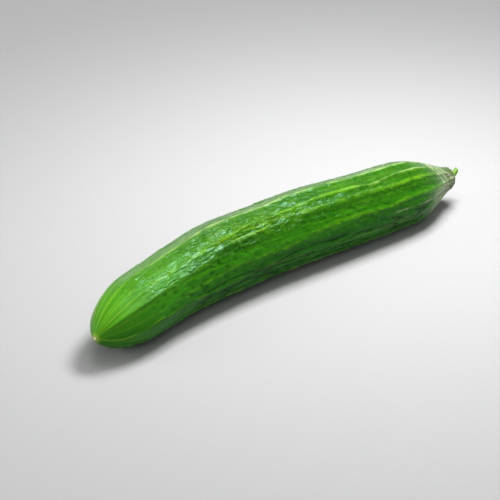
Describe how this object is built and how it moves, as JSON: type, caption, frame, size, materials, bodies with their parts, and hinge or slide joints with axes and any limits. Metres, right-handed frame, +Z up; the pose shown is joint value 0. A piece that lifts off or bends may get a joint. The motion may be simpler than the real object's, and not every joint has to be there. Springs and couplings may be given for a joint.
{
  "type": "cucumber",
  "caption": "Long slicing cucumber, as picked: a gently bowed, ribbed and puckered green fruit with a tapering neck and a short cut stalk, lying on its side.",
  "frame": {"origin": "on the surface that the cucumber lies on, under the middle of its bounding box", "axes": "+Z up, +X from the blossom end to the stalk end, +Y towards the side that the fruit bows out to"},
  "size_m": [0.3008, 0.057, 0.0466],
  "materials": {
    "skin": "thin natural wax, satin to glossy, mid to dark green with paler ribs and a yellower blossom end",
    "stalk": "matt, pale fresh green, with a drier brownish cut end"
  },
  "bodies": {
    "root": {"fruit": "skin", "stem": "stalk"}
  },
  "joints": []
}
